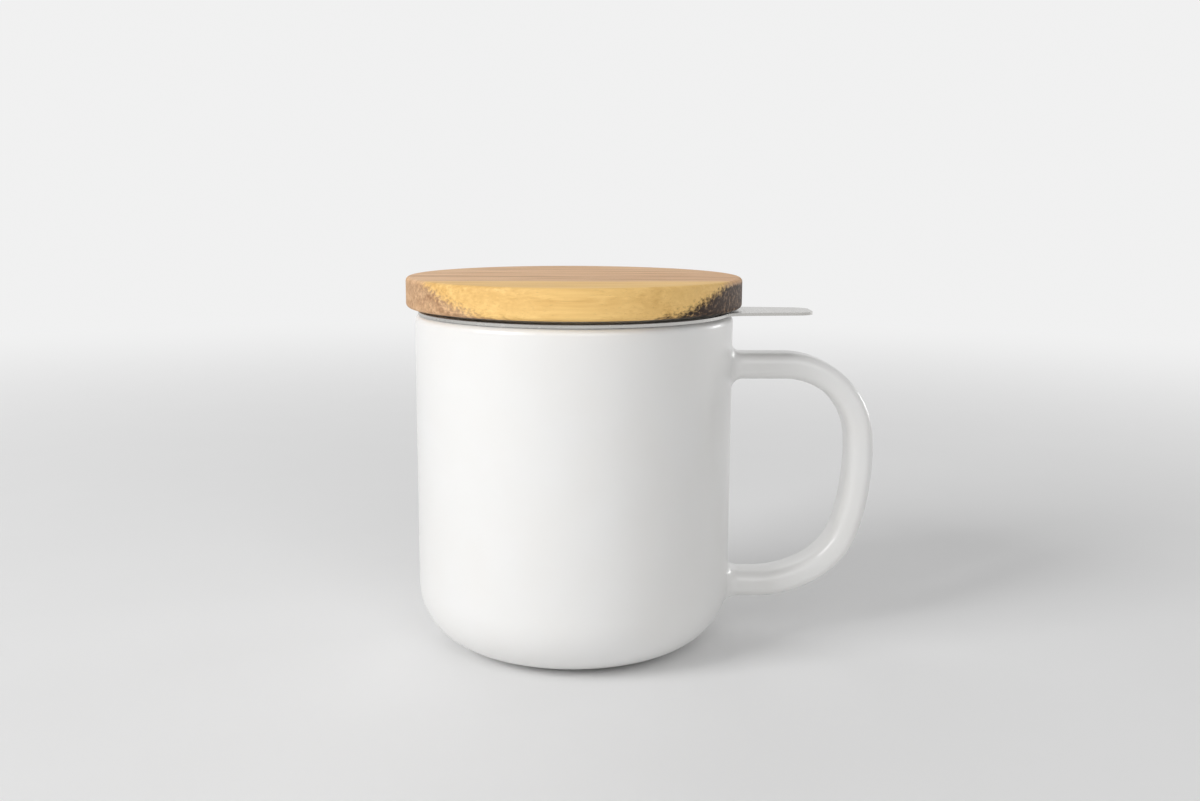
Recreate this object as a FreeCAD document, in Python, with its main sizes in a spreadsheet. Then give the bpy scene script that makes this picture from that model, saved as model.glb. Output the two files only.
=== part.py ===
import FreeCAD, Part
import math
import os

import Sketcher

# A lidded tea mug: a glazed cup with a luted handle, a steel infuser basket that hangs by its
# brim from the cup's rim, and a turned wooden lid whose silicone ring sits on that brim.
# The cup's axis is Z, its foot stands on Z = 0 and the handle and the infuser's tab point along +X.
# All lengths are millimetres and all turns are degrees.

SIZES = {
    # The cup
    "mug_height": 91.0,
    "mug_radius": 42.7,
    "mug_wall": 4.0,
    "floor_thickness": 5.0,
    "corner_radius": 17.0,
    "inner_corner": 13.0,
    "rim_round_out": 1.6,
    "rim_round_in": 1.4,
    # The foot ring under the cup
    "foot_radius": 26.0,
    "foot_width": 3.0,
    "foot_lift": 0.7,
    "foot_round": 0.3,
    # The handle's section, and the arcs and turns of its middle line
    "handle_width": 11.6,
    "handle_thickness": 7.0,
    "handle_round": 2.8,
    "handle_top": 76.9,
    "handle_low": 16.0,
    "handle_reach": 78.3,
    "top_arc": 21.0,
    "back_arc": 67.0,
    "low_arc": 20.0,
    "foot_arc": 30.0,
    "foot_turn": 34.0,
    "low_turn": 72.0,
    "handle_root": 3.0,
    "flare_radius": 3.0,
    # The infuser's brim, with its drawn neck and its lifting tab
    "brim_radius": 41.9,
    "brim_thickness": 0.8,
    "brim_bend": 1.4,
    "neck_radius": 36.4,
    "neck_depth": 8.0,
    "tab_reach": 64.0,
    "tab_root_width": 20.5,
    "tab_tip_width": 14.5,
    "tab_corner": 4.5,
    "tab_fillet": 6.0,
    # The infuser's perforated wall and floor
    "sheet": 0.4,
    "basket_depth": 63.0,
    "weld_drop": 1.6,
    "low_band": 9.0,
    "high_band": 4.0,
    "seam_band": 3.2,
    "slot_width": 0.9,
    "slot_bridge": 3.2,
    "slot_rows": 4,
    "slot_columns": 54,
    "pan_skirt": 6.0,
    "pan_round": 1.6,
    "hub_radius": 5.0,
    "pan_margin": 2.5,
    "floor_rings": 3,
    "floor_spokes": 12,
    # The lid's board and the plug turned on its underside
    "lid_radius": 45.0,
    "lid_thickness": 8.0,
    "lid_round": 1.0,
    "plug_radius": 33.4,
    "plug_depth": 6.6,
    "plug_round": 0.8,
    # The silicone ring, its bead in the plug's groove and its fins in the neck
    "bead_drop": 2.4,
    "bead_height": 1.8,
    "bead_depth": 1.6,
    "seat_height": 1.1,
    "seat_width": 2.2,
    "sleeve": 1.0,
    "sleeve_height": 5.4,
    "fin_gap": 0.3,
    "fin_height": 0.7,
    "fin_bridge": 1.2,
    "fin_count": 2,
}

DEGREE = math.pi / 180.0

# Two places nearer than this are the same, and a cut that takes less than this took nothing.
SAME_PLACE = 1e-4
SMALLEST_CUT = 1e-3

# The flare's stations, as turns of its quarter circle from the wall out to the bar.
FLARE_TURNS = (80, 50, 25, 0)


class Formula:
    """A length that knows both its value and the text that binds a constraint to the sheet."""

    def __init__(self, value, text):
        self.value = value
        self.text = text

    @staticmethod
    def of(other):
        return other if isinstance(other, Formula) else Formula(float(other), repr(float(other)))

    def join(self, other, sign, value):
        return Formula(value, f"({self.text} {sign} {Formula.of(other).text})")

    def __add__(self, other):
        return self.join(other, "+", self.value + Formula.of(other).value)

    def __sub__(self, other):
        return self.join(other, "-", self.value - Formula.of(other).value)

    def __mul__(self, other):
        return self.join(other, "*", self.value * Formula.of(other).value)

    def __truediv__(self, other):
        return self.join(other, "/", self.value / Formula.of(other).value)

    def __neg__(self):
        return Formula.of(0) - self


def sine(angle):
    return Formula(math.sin(angle.value * DEGREE), f"sin({angle.text} * 1 deg)")


def cosine(angle):
    return Formula(math.cos(angle.value * DEGREE), f"cos({angle.text} * 1 deg)")


def root(square):
    return Formula(math.sqrt(square.value), f"sqrt({square.text})")


def turned(sine_of_angle):
    """The cosine that goes with a sine."""
    return root(Formula.of(1) - sine_of_angle * sine_of_angle)


doc = FreeCAD.newDocument("lidded_tea_mug")


def make_sheet():
    """The driving sizes, one row each, with the size's name as its alias."""
    sheet = doc.addObject("Spreadsheet::Sheet", "Sizes")
    for row, (name, value) in enumerate(SIZES.items(), start=1):
        sheet.set(f"A{row}", name)
        sheet.set(f"B{row}", str(value))
        sheet.setAlias(f"B{row}", name)
    doc.recompute()
    return sheet


def size(name):
    return Formula(float(SIZES[name]), f"Sizes.{name}")


ZERO = Formula.of(0)
ONE = Formula.of(1)


def new_body(label, lift=None):
    """An empty body, whose own datum lies at the height lift in the mug's frame."""
    body = doc.addObject("PartDesign::Body", label)
    body.Label = label
    body.Placement = FreeCAD.Placement(FreeCAD.Vector(0, 0, 0), FreeCAD.Rotation())
    if lift is not None:
        body.setExpression(".Placement.Base.z", lift.text)
    return body


def origin_part(body, role):
    for feature in body.Origin.OriginFeatures:
        if feature.Role == role:
            return feature
    raise RuntimeError(f"{body.Label} has no {role}")


def new_sketch(body, name, plane, lift=None):
    """A sketch on one of the body's own origin planes, moved off it by lift."""
    sketch = body.newObject("Sketcher::SketchObject", f"{body.Label}_{name}")
    sketch.AttachmentSupport = [(origin_part(body, plane), "")]
    sketch.MapMode = "FlatFace"
    if lift is not None:
        sketch.AttachmentOffset = FreeCAD.Placement(
            FreeCAD.Vector(0, 0, lift.value), FreeCAD.Rotation()
        )
        sketch.setExpression(".AttachmentOffset.Base.z", lift.text)
    return sketch


def bind(sketch, kind, *where, to):
    """Adds a constraint whose size follows the sheet."""
    index = sketch.addConstraint(Sketcher.Constraint(kind, *where, to.value))
    sketch.setExpression(f"Constraints[{index}]", to.text)


def pin_point(sketch, geometry, end, x, y):
    """Ties a point of the sketch to its two coordinates."""
    for formula, kind, axis in ((x, "DistanceX", -2), (y, "DistanceY", -1)):
        if abs(formula.value) < 1e-9:
            sketch.addConstraint(Sketcher.Constraint("PointOnObject", geometry, end, axis))
        else:
            bind(sketch, kind, -1, 1, geometry, end, to=formula)


class Arc:
    """A corner of an outline reached by an arc: its end, radius and a rough middle for the centre."""

    def __init__(self, x, y, radius, centre):
        self.x = x
        self.y = y
        self.radius = radius
        self.centre = centre


def draw_outline(sketch, corners, closed=True):
    """Draws lines and arcs through corners, each (x, y) or an Arc that says how it is reached."""
    spots = [(c.x, c.y) if isinstance(c, Arc) else c for c in corners]
    vectors = [FreeCAD.Vector(x.value, y.value, 0) for x, y in spots]
    count = len(corners)
    legs = range(count) if closed else range(1, count)
    ends = {}
    for leg in legs:
        start, end = vectors[leg - 1], vectors[leg]
        corner = corners[leg]
        if isinstance(corner, Arc):
            centre = FreeCAD.Vector(corner.centre[0], corner.centre[1], 0)
            first = math.atan2(start.y - centre.y, start.x - centre.x)
            last = math.atan2(end.y - centre.y, end.x - centre.x)
            sweep = (last - first) % (2 * math.pi)
            circle = Part.Circle(centre, FreeCAD.Vector(0, 0, 1), corner.radius.value)
            forward = sweep < math.pi
            arc = Part.ArcOfCircle(circle, first, last) if forward else Part.ArcOfCircle(circle, last, first)
            geometry = sketch.addGeometry(arc, False)
            ends[leg] = (geometry, 1 if forward else 2, 2 if forward else 1)
            bind(sketch, "Radius", geometry, to=corner.radius)
        else:
            geometry = sketch.addGeometry(Part.LineSegment(start, end), False)
            ends[leg] = (geometry, 1, 2)
    for leg in legs:
        geometry, start_end, far_end = ends[leg]
        pin_point(sketch, geometry, far_end, *spots[leg])
        if not closed and leg == 1:
            pin_point(sketch, geometry, start_end, *spots[0])
        if closed or leg > 1:
            before = ends[leg - 1 if leg else count - 1] if closed else ends[leg - 1]
            sketch.addConstraint(
                Sketcher.Constraint("Coincident", before[0], before[2], geometry, start_end)
            )
    return sketch


def draw_circle(sketch, radius):
    circle = Part.Circle(FreeCAD.Vector(0, 0, 0), FreeCAD.Vector(0, 0, 1), radius.value)
    geometry = sketch.addGeometry(circle, False)
    sketch.addConstraint(Sketcher.Constraint("Coincident", geometry, 3, -1, 1))
    bind(sketch, "Radius", geometry, to=radius)


def box_outline(left, low, right, high):
    return [(left, low), (right, low), (right, high), (left, high)]


def turn_outline(body, name, kind, corners):
    """Turns a closed outline in the XZ plane once round the Z axis."""
    sketch = draw_outline(new_sketch(body, f"{name}_outline", "XZ_Plane"), corners)
    feature = body.newObject(kind, f"{body.Label}_{name}")
    feature.Profile = sketch
    feature.ReferenceAxis = (sketch, ["V_Axis"])
    feature.Angle = 360
    doc.recompute()
    return feature


def revolve(body, name, corners):
    return turn_outline(body, name, "PartDesign::Revolution", corners)


def groove(body, name, corners):
    """Turns an outline away from the body, and stops if nothing came off."""
    before = body.Shape.Volume
    feature = turn_outline(body, name, "PartDesign::Groove", corners)
    if feature.Shape.Volume > before - SMALLEST_CUT:
        raise RuntimeError(f"{feature.Name} cuts nothing")
    return feature


def ring_edges(feature, spots):
    """Names of the circular edges at the given (radius, height) spots."""
    names = []
    for number, edge in enumerate(feature.Shape.Edges, start=1):
        if not isinstance(edge.Curve, Part.Circle):
            continue
        for radius, height in spots:
            on_radius = abs(edge.Curve.Radius - radius.value) < SAME_PLACE
            if on_radius and abs(edge.Curve.Center.z - height.value) < SAME_PLACE:
                names.append(f"Edge{number}")
    if len(names) < len(spots):
        raise RuntimeError(f"{feature.Name} lacks a ring edge")
    return names


def upright_edges(feature, wanted):
    """Names of the straight vertical edges whose place in plan is wanted."""
    names = []
    for number, edge in enumerate(feature.Shape.Edges, start=1):
        if len(edge.Vertexes) != 2:
            continue
        first, last = edge.Vertexes[0].Point, edge.Vertexes[1].Point
        stands = math.hypot(first.x - last.x, first.y - last.y) < SAME_PLACE
        if stands and abs(first.z - last.z) > SAME_PLACE and wanted(first.x, first.y):
            names.append(f"Edge{number}")
    if len(names) != 2:
        raise RuntimeError(f"{feature.Name} has {len(names)} such edges")
    return names


def round_edges(body, name, feature, edges, radius):
    fillet = body.newObject("PartDesign::Fillet", f"{body.Label}_{name}")
    fillet.Base = (feature, edges)
    fillet.Radius = radius.value
    fillet.setExpression("Radius", radius.text)
    doc.recompute()
    return fillet


def round_rings(body, name, feature, spots, radius):
    return round_edges(body, name, feature, ring_edges(feature, spots), radius)


def pad(body, name, sketch, length):
    feature = body.newObject("PartDesign::Pad", f"{body.Label}_{name}")
    feature.Profile = sketch
    feature.Length = length.value
    feature.setExpression("Length", length.text)
    doc.recompute()
    return feature


def pocket(body, name, sketch, length):
    """Cuts a sketch's outlines away along the sketch's normal, and stops if nothing came off."""
    before = body.Shape.Volume
    feature = body.newObject("PartDesign::Pocket", f"{body.Label}_{name}")
    feature.Profile = sketch
    feature.Length = length.value
    feature.setExpression("Length", length.text)
    feature.Reversed = True
    doc.recompute()
    if feature.Shape.Volume > before - SMALLEST_CUT:
        raise RuntimeError(f"{feature.Name} cuts nothing")
    return feature


def spread_round(body, name, feature, turn, count):
    """Repeats a feature round the body's Z axis: count copies over turn degrees."""
    pattern = body.newObject("PartDesign::PolarPattern", f"{body.Label}_{name}")
    pattern.Originals = [feature]
    pattern.Axis = (origin_part(body, "Z_Axis"), [""])
    pattern.Angle = turn.value
    pattern.setExpression("Angle", turn.text)
    pattern.Occurrences = int(round(count.value))
    pattern.setExpression("Occurrences", count.text)
    body.Tip = pattern
    doc.recompute()
    return pattern


# Levels and radii that more than one piece shares. The infuser's levels are measured from the
# cup's rim and the lid's from the underside of its board.
RIM = size("mug_height")
BRIM_TOP = size("brim_thickness")
NECK_BORE = size("neck_radius") - size("brim_thickness")
BASKET_RADIUS = size("neck_radius")
BASKET_LOW = -size("basket_depth")
LID_UNDER = RIM + BRIM_TOP + size("seat_height")


def cup_outside():
    """The outline of the cup's outside, closed along its axis."""
    outer, corner, lift = size("mug_radius"), size("corner_radius"), size("foot_lift")
    middle = (outer - corner, lift + corner)
    return [
        (ZERO, lift),
        (outer - corner, lift),
        Arc(outer, lift + corner, corner, (middle[0].value, middle[1].value)),
        (outer, RIM),
    ]


def make_mug_body():
    """The cup: a thick wall with a deep rounded corner, a rolled rim and a foot ring."""
    body = new_body("mug_body")
    outer, bore = size("mug_radius"), size("mug_radius") - size("mug_wall")
    inside = size("inner_corner")
    floor = size("foot_lift") + size("floor_thickness")
    middle = (bore - inside, floor + inside)
    hollow = [
        (bore, RIM),
        (bore, floor + inside),
        Arc(bore - inside, floor, inside, (middle[0].value, middle[1].value)),
        (ZERO, floor),
    ]
    cup = revolve(body, "cup", cup_outside() + hollow)
    cup = round_rings(body, "rim_outside", cup, [(outer, RIM)], size("rim_round_out"))
    round_rings(body, "rim_inside", cup, [(bore, RIM)], size("rim_round_in"))
    foot, foot_bore = size("foot_radius"), size("foot_radius") - size("foot_width")
    sketch = new_sketch(body, "foot_rings", "XY_Plane")
    draw_circle(sketch, foot)
    draw_circle(sketch, foot_bore)
    ring = pad(body, "foot", sketch, size("foot_lift") + size("floor_thickness") / 2)
    round_rings(body, "foot_edges", ring, [(foot, ZERO), (foot_bore, ZERO)], size("foot_round"))
    return body


def rounded_box(width, height, rounding, middle):
    """A rectangle with arc corners about (0, middle): width across, height up."""
    corners = []
    for side, level in ((1, -1), (1, 1), (-1, 1), (-1, -1)):
        far = width / 2 * side
        edge = middle + height / 2 * level
        near_x = far - rounding * side
        near_y = edge - rounding * level
        first, last = (near_x, edge), (far, near_y)
        if side * level > 0:
            first, last = last, first
        corners.append(first)
        corners.append(Arc(last[0], last[1], rounding, (near_x.value, near_y.value)))
    return corners


def handle_path():
    """The handle's middle line in the XZ plane: two straight bars and four arcs between them."""
    top, low, reach = size("handle_top"), size("handle_low"), size("handle_reach")
    top_arc, back_arc = size("top_arc"), size("back_arc")
    low_arc, foot_arc = size("low_arc"), size("foot_arc")
    foot_turn, low_turn = size("foot_turn"), size("low_turn")
    start = size("mug_radius") - size("handle_root")
    # From the lower bar the foot arc turns up, the low arc carries on and the back arc follows.
    waist_x = reach - back_arc * (ONE - sine(low_turn))
    bend_x = waist_x - low_arc * (sine(low_turn) - sine(foot_turn))
    bar_x = bend_x - foot_arc * sine(foot_turn)
    bend_z = low + foot_arc * (ONE - cosine(foot_turn))
    waist_z = bend_z + low_arc * (cosine(foot_turn) - cosine(low_turn))
    back_z = waist_z + back_arc * cosine(low_turn)
    # The back arc ends where the top arc, tangent to it and to the upper bar, takes over.
    lean = (top - back_z - top_arc) / (back_arc - top_arc)
    shoulder_x = reach - back_arc * (ONE - turned(lean))
    shoulder_z = back_z + back_arc * lean
    crown_x = shoulder_x - top_arc * turned(lean)
    low_centre = (waist_x - low_arc * sine(low_turn), waist_z + low_arc * cosine(low_turn))
    return [
        (start, top),
        (crown_x, top),
        Arc(shoulder_x, shoulder_z, top_arc, (crown_x.value, (top - top_arc).value)),
        Arc(waist_x, waist_z, back_arc, ((reach - back_arc).value, back_z.value)),
        Arc(bend_x, bend_z, low_arc, (low_centre[0].value, low_centre[1].value)),
        Arc(bar_x, low, foot_arc, (bar_x.value, (low + foot_arc).value)),
        (start, low),
    ]


def make_mug_handle():
    """The handle: an oblong section swept along its path, flared at its ends and cut to the cup."""
    body = new_body("mug_handle")
    width, thick, rounding = size("handle_width"), size("handle_thickness"), size("handle_round")
    start, wall = size("mug_radius") - size("handle_root"), size("mug_radius")
    corners = handle_path()
    path = draw_outline(new_sketch(body, "path", "XZ_Plane"), corners, closed=False)
    section = new_sketch(body, "section", "YZ_Plane", start)
    draw_outline(section, rounded_box(width, thick, rounding, size("handle_top")))
    doc.recompute()
    pipe = body.newObject("PartDesign::AdditivePipe", "mug_handle_bar")
    pipe.Profile = section
    pipe.Spine = (path, [f"Edge{number}" for number in range(1, len(corners))])
    doc.recompute()
    # A flare is a hollow quarter turn about the bar: each station has its place and its growth.
    radius = size("flare_radius")
    stations = [(start, radius)]
    for turn in FLARE_TURNS:
        angle = Formula.of(turn)
        stations.append((wall + radius * (ONE - sine(angle)), radius * (ONE - cosine(angle))))
    for end, level in (("upper", size("handle_top")), ("lower", size("handle_low"))):
        rings = []
        for number, (place, growth) in enumerate(stations):
            ring = new_sketch(body, f"{end}_flare_{number}", "YZ_Plane", place)
            grown = rounded_box(width + growth * 2, thick + growth * 2, rounding + growth, level)
            rings.append(draw_outline(ring, grown))
        doc.recompute()
        flare = body.newObject("PartDesign::AdditiveLoft", f"mug_handle_{end}_flare")
        flare.Profile = rings[0]
        flare.Sections = rings[1:]
        flare.Ruled = True
        doc.recompute()
    groove(body, "seat", cup_outside() + [(ZERO, RIM)])
    return body


def make_infuser_brim():
    """The stamped brim: flat ring with a drawn neck inside and one tab outside."""
    body = new_body("infuser_brim", RIM)
    outer, neck, low = size("brim_radius"), size("neck_radius"), -size("neck_depth")
    thickness, bend = size("brim_thickness"), size("brim_bend")
    corners = [
        (NECK_BORE, low),
        (neck, low),
        (neck, ZERO),
        (outer, ZERO),
        (outer, thickness),
        (NECK_BORE, thickness),
    ]
    revolve(body, "ring", corners)
    inner, reach = NECK_BORE + bend, size("tab_reach")
    root_half, tip_half = size("tab_root_width") / 2, size("tab_tip_width") / 2
    sketch = new_sketch(body, "tab_outline", "XY_Plane")
    tab_corners = [(inner, -root_half), (reach, -tip_half), (reach, tip_half), (inner, root_half)]
    draw_outline(sketch, tab_corners)
    brim = pad(body, "tab", sketch, thickness)
    tip = upright_edges(brim, lambda x, y: abs(x - reach.value) < SAME_PLACE)
    brim = round_edges(body, "tab_tip", brim, tip, size("tab_corner"))
    root_edges = upright_edges(
        brim, lambda x, y: abs(math.hypot(x, y) - outer.value) < SAME_PLACE and x > 0 and abs(y) > 1
    )
    brim = round_edges(body, "tab_root", brim, root_edges, size("tab_fillet"))
    brim = round_rings(body, "neck_bend", brim, [(NECK_BORE, thickness)], bend)
    round_rings(body, "neck_bend_under", brim, [(neck, ZERO)], bend - thickness)
    return body


def make_infuser_wall():
    """The rolled wall, spot welded outside the neck: rows of slots between solid bands."""
    body = new_body("infuser_wall", RIM)
    outer = BASKET_RADIUS + size("sheet")
    revolve(body, "tube", box_outline(BASKET_RADIUS, BASKET_LOW, outer, -size("weld_drop")))
    low = BASKET_LOW + size("low_band")
    high = -size("neck_depth") - size("high_band")
    rows, bridge = size("slot_rows"), size("slot_bridge")
    length = (high - low - bridge * (rows - ONE)) / rows
    half = size("slot_width") / 2
    # The slots are cut from just inside the wall to just outside it, clear of one another.
    margin = size("sheet") * 2
    sketch = new_sketch(body, "slot_outlines", "YZ_Plane", BASKET_RADIUS - margin)
    for row in range(SIZES["slot_rows"]):
        foot = low + (length + bridge) * row
        draw_outline(sketch, box_outline(-half, foot, half, foot + length))
    column = pocket(body, "slots", sketch, size("sheet") + margin * 2)
    # The seam's blank band takes its own angle out of the full turn.
    seam = (size("seam_band") + size("slot_width")) / outer / Formula.of(DEGREE)
    spread_round(body, "slot_columns", column, Formula.of(360) - seam, size("slot_columns"))
    return body


def make_infuser_floor():
    """The pressed floor pan, spot welded inside the wall's low edge: rings of radial slots."""
    body = new_body("infuser_floor", RIM)
    outer, sheet, bend = BASKET_RADIUS, size("sheet"), size("pan_round")
    top, middle = BASKET_LOW + size("pan_skirt"), ((outer - bend).value, (BASKET_LOW + bend).value)
    corners = [
        (ZERO, BASKET_LOW),
        (outer - bend, BASKET_LOW),
        Arc(outer, BASKET_LOW + bend, bend, middle),
        (outer, top),
        (outer - sheet, top),
        (outer - sheet, BASKET_LOW + bend),
        Arc(outer - bend, BASKET_LOW + sheet, bend - sheet, middle),
        (ZERO, BASKET_LOW + sheet),
    ]
    revolve(body, "pan", corners)
    rings, bridge, hub = size("floor_rings"), size("slot_bridge"), size("hub_radius")
    reach = outer - bend - size("pan_margin")
    length = (reach - hub - bridge * (rings - ONE)) / rings
    half = size("slot_width") / 2
    for ring in range(SIZES["floor_rings"]):
        inner = hub + (length + bridge) * ring
        sketch = new_sketch(body, f"ring_{ring + 1}_outline", "XY_Plane", BASKET_LOW)
        draw_outline(sketch, box_outline(inner, -half, inner + length, half))
        slot = pocket(body, f"ring_{ring + 1}_slot", sketch, sheet * 2)
        count = size("floor_spokes") * (ring + 1)
        spread_round(body, f"ring_{ring + 1}", slot, Formula.of(360), count)
    return body


def make_lid_board():
    """The turned wooden lid: a flat board with a plug under it and a groove round the plug."""
    body = new_body("lid_board", LID_UNDER)
    outer, plug, top = size("lid_radius"), size("plug_radius"), size("lid_thickness")
    low = -size("plug_depth")
    corners = [(ZERO, low), (plug, low), (plug, ZERO), (outer, ZERO), (outer, top), (ZERO, top)]
    board = revolve(body, "turning", corners)
    board = round_rings(body, "edges", board, [(outer, ZERO), (outer, top)], size("lid_round"))
    round_rings(body, "plug_edge", board, [(plug, low)], size("plug_round"))
    bead_top = -size("bead_drop")
    bead_low = bead_top - size("bead_height")
    groove(body, "bead_groove", box_outline(plug - size("bead_depth"), bead_low, outer, bead_top))
    return body


def make_lid_seal():
    """The silicone ring: a seat on the brim, a sleeve with fins in the neck, a bead in the plug."""
    body = new_body("lid_seal", LID_UNDER)
    plug = size("plug_radius")
    sleeve, seat = plug + size("sleeve"), NECK_BORE + size("brim_bend") + size("seat_width")
    low, bead_top = -size("sleeve_height"), -size("bead_drop")
    bead_low, bead_bore = bead_top - size("bead_height"), plug - size("bead_depth")
    fin_tip, fin_height = NECK_BORE - size("fin_gap"), size("fin_height")
    corners = [
        (plug, ZERO),
        (plug, bead_top),
        (bead_bore, bead_top),
        (bead_bore, bead_low),
        (plug, bead_low),
        (plug, low),
        (sleeve, low),
    ]
    for fin in range(SIZES["fin_count"]):
        # A fin is flat on top and slants below, so that it wipes into the neck.
        foot = low + (fin_height + size("fin_bridge")) * fin + fin_height / 2
        corners.append((sleeve, foot))
        corners.append((fin_tip, foot + fin_height / 2))
        corners.append((fin_tip, foot + fin_height))
        corners.append((sleeve, foot + fin_height))
    corners += [(sleeve, -size("seat_height")), (seat, -size("seat_height")), (seat, ZERO)]
    revolve(body, "ring", corners)
    return body


def check(bodies):
    """Stops if any object failed or any piece isn't one sound solid."""
    for item in doc.Objects:
        if "Invalid" in item.State or "Error" in item.State:
            raise RuntimeError(f"{item.Name} failed: {item.State}")
    for body in bodies:
        shape = body.Shape
        if shape.isNull() or not shape.isValid() or len(shape.Solids) != 1:
            raise RuntimeError(f"{body.Label} has no sound solid")


def main():
    make_sheet()
    makers = (
        make_mug_body,
        make_mug_handle,
        make_infuser_brim,
        make_infuser_wall,
        make_infuser_floor,
        make_lid_board,
        make_lid_seal,
    )
    bodies = [make() for make in makers]
    doc.recompute()
    check(bodies)
    os.makedirs("parts", exist_ok=True)
    for body in bodies:
        body.Shape.exportStep(f"parts/{body.Label}.step")
        print(f"{body.Label}: {body.Shape.Volume:.0f} cubic mm")


main()
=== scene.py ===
"""Dresses the lidded tea mug: glazed cup and handle, steel infuser, wooden lid and silicone ring.

Sizes in the classes are millimetres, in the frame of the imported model, unless a class or a name
says otherwise. Relief heights are metres. Meshes are made in metres.
"""
import logging
import math
from dataclasses import dataclass, field
from enum import Enum

import bmesh
import bpy
from mathutils import Euler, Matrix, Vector


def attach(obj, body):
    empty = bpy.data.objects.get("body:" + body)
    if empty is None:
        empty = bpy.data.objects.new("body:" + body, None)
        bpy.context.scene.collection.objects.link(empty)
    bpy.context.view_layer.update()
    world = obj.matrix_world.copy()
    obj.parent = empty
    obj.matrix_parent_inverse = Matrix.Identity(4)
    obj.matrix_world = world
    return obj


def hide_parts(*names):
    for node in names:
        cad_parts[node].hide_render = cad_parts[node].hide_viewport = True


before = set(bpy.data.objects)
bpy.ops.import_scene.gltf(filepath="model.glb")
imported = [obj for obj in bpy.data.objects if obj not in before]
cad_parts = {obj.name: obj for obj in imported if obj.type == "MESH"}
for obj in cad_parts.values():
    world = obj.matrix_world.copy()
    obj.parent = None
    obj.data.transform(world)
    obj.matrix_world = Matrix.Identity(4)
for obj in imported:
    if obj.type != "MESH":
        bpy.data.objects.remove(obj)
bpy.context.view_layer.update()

log = logging.getLogger("tea_mug")

MM = 0.001
Point = tuple[float, float]
Place = tuple[float, float, float]
Colour = tuple[float, float, float, float]
# From low, from high, to low and to high.
Range = tuple[float, float, float, float]

# Edges that turn by more than this stay crisp.
SHARP_ANGLE = math.radians(40.0)
# Outline points nearer to the axis than this, in millimetres, lie on it.
ON_AXIS = 1e-6

# The colour sockets of a Mix node, which has others of the same names.
MIX_SHARE, MIX_FIRST, MIX_SECOND, MIX_COLOUR = 0, 6, 7, 2

STREAK_DETAIL = 5.0
STREAK_ROUGHNESS = 0.6
# Handling marks are this much finer than the unevenness, and add this share of relief.
MARK_FINENESS = 9.0
MARK_RELIEF = 0.02
MARK_NOISE: Range = (0.56, 0.74, 0.0, 1.0)


class Slot(Enum):
    """Names of the record's material slots."""

    GLAZE = "glaze"
    WOOD = "wood"
    SILICONE = "silicone"


class BodyName(Enum):
    """The bodies of the frame that new pieces ride on."""

    MUG = "mug"
    LID = "lid"


def arc(centre: Point, radius: float, start: float, end: float, steps: int = 10) -> list[Point]:
    """Points along an arc of an outline.

    Args:
        centre: middle of the arc, as (radius from the axis, height).
        radius: the arc's own radius.
        start: angle of the first point, in degrees from the outward direction.
        end: angle of the last point, in degrees.
        steps: how many stretches the arc is cut into.

    Returns:
        The points from start to end, both included.
    """
    points = []
    for step in range(steps + 1):
        angle = math.radians(start + (end - start) * step / steps)
        points.append((centre[0] + radius * math.cos(angle), centre[1] + radius * math.sin(angle)))
    return points


def add_object(name: str, mesh: bpy.types.Mesh) -> bpy.types.Object:
    """Links a mesh into the scene as a smooth-shaded object.

    Args:
        name: the object's name.
        mesh: the finished mesh.

    Returns:
        The new object.
    """
    for polygon in mesh.polygons:
        polygon.use_smooth = True
    mesh.set_sharp_from_angle(angle=SHARP_ANGLE)
    piece = bpy.data.objects.new(name, mesh)
    bpy.context.scene.collection.objects.link(piece)
    return piece


def finish_mesh(name: str, shape: bmesh.types.BMesh) -> bpy.types.Mesh:
    """Turns a bmesh in millimetres into a mesh in metres with its faces outward.

    Args:
        name: the mesh's name.
        shape: the bmesh, which is freed.

    Returns:
        The new mesh.
    """
    bmesh.ops.recalc_face_normals(shape, faces=shape.faces)
    bmesh.ops.scale(shape, vec=(MM, MM, MM), verts=shape.verts)
    mesh = bpy.data.meshes.new(name)
    shape.to_mesh(mesh)
    shape.free()
    return mesh


def lathe(name: str, outline: list[Point], turns: int) -> bpy.types.Object:
    """Turns a closed outline once round the Z axis.

    Args:
        name: the new object's name.
        outline: (radius, height) points round the section, closed from last to first.
        turns: how many stretches the circle has.

    Returns:
        The turned piece.
    """
    shape = bmesh.new()
    rings = []
    for radius, height in outline:
        if radius < ON_AXIS:
            rings.append([shape.verts.new((0.0, 0.0, height))] * turns)
            continue
        ring = []
        for turn in range(turns):
            angle = 2 * math.pi * turn / turns
            ring.append(shape.verts.new((radius * math.cos(angle), radius * math.sin(angle), height)))
        rings.append(ring)
    for near, far in zip(rings, rings[1:] + rings[:1]):
        if near[0] is near[1] and far[0] is far[1]:
            continue
        for turn in range(turns):
            after = (turn + 1) % turns
            corners = [near[turn], near[after], far[after], far[turn]]
            shape.faces.new(list(dict.fromkeys(corners)))
    return add_object(name, finish_mesh(name, shape))


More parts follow.
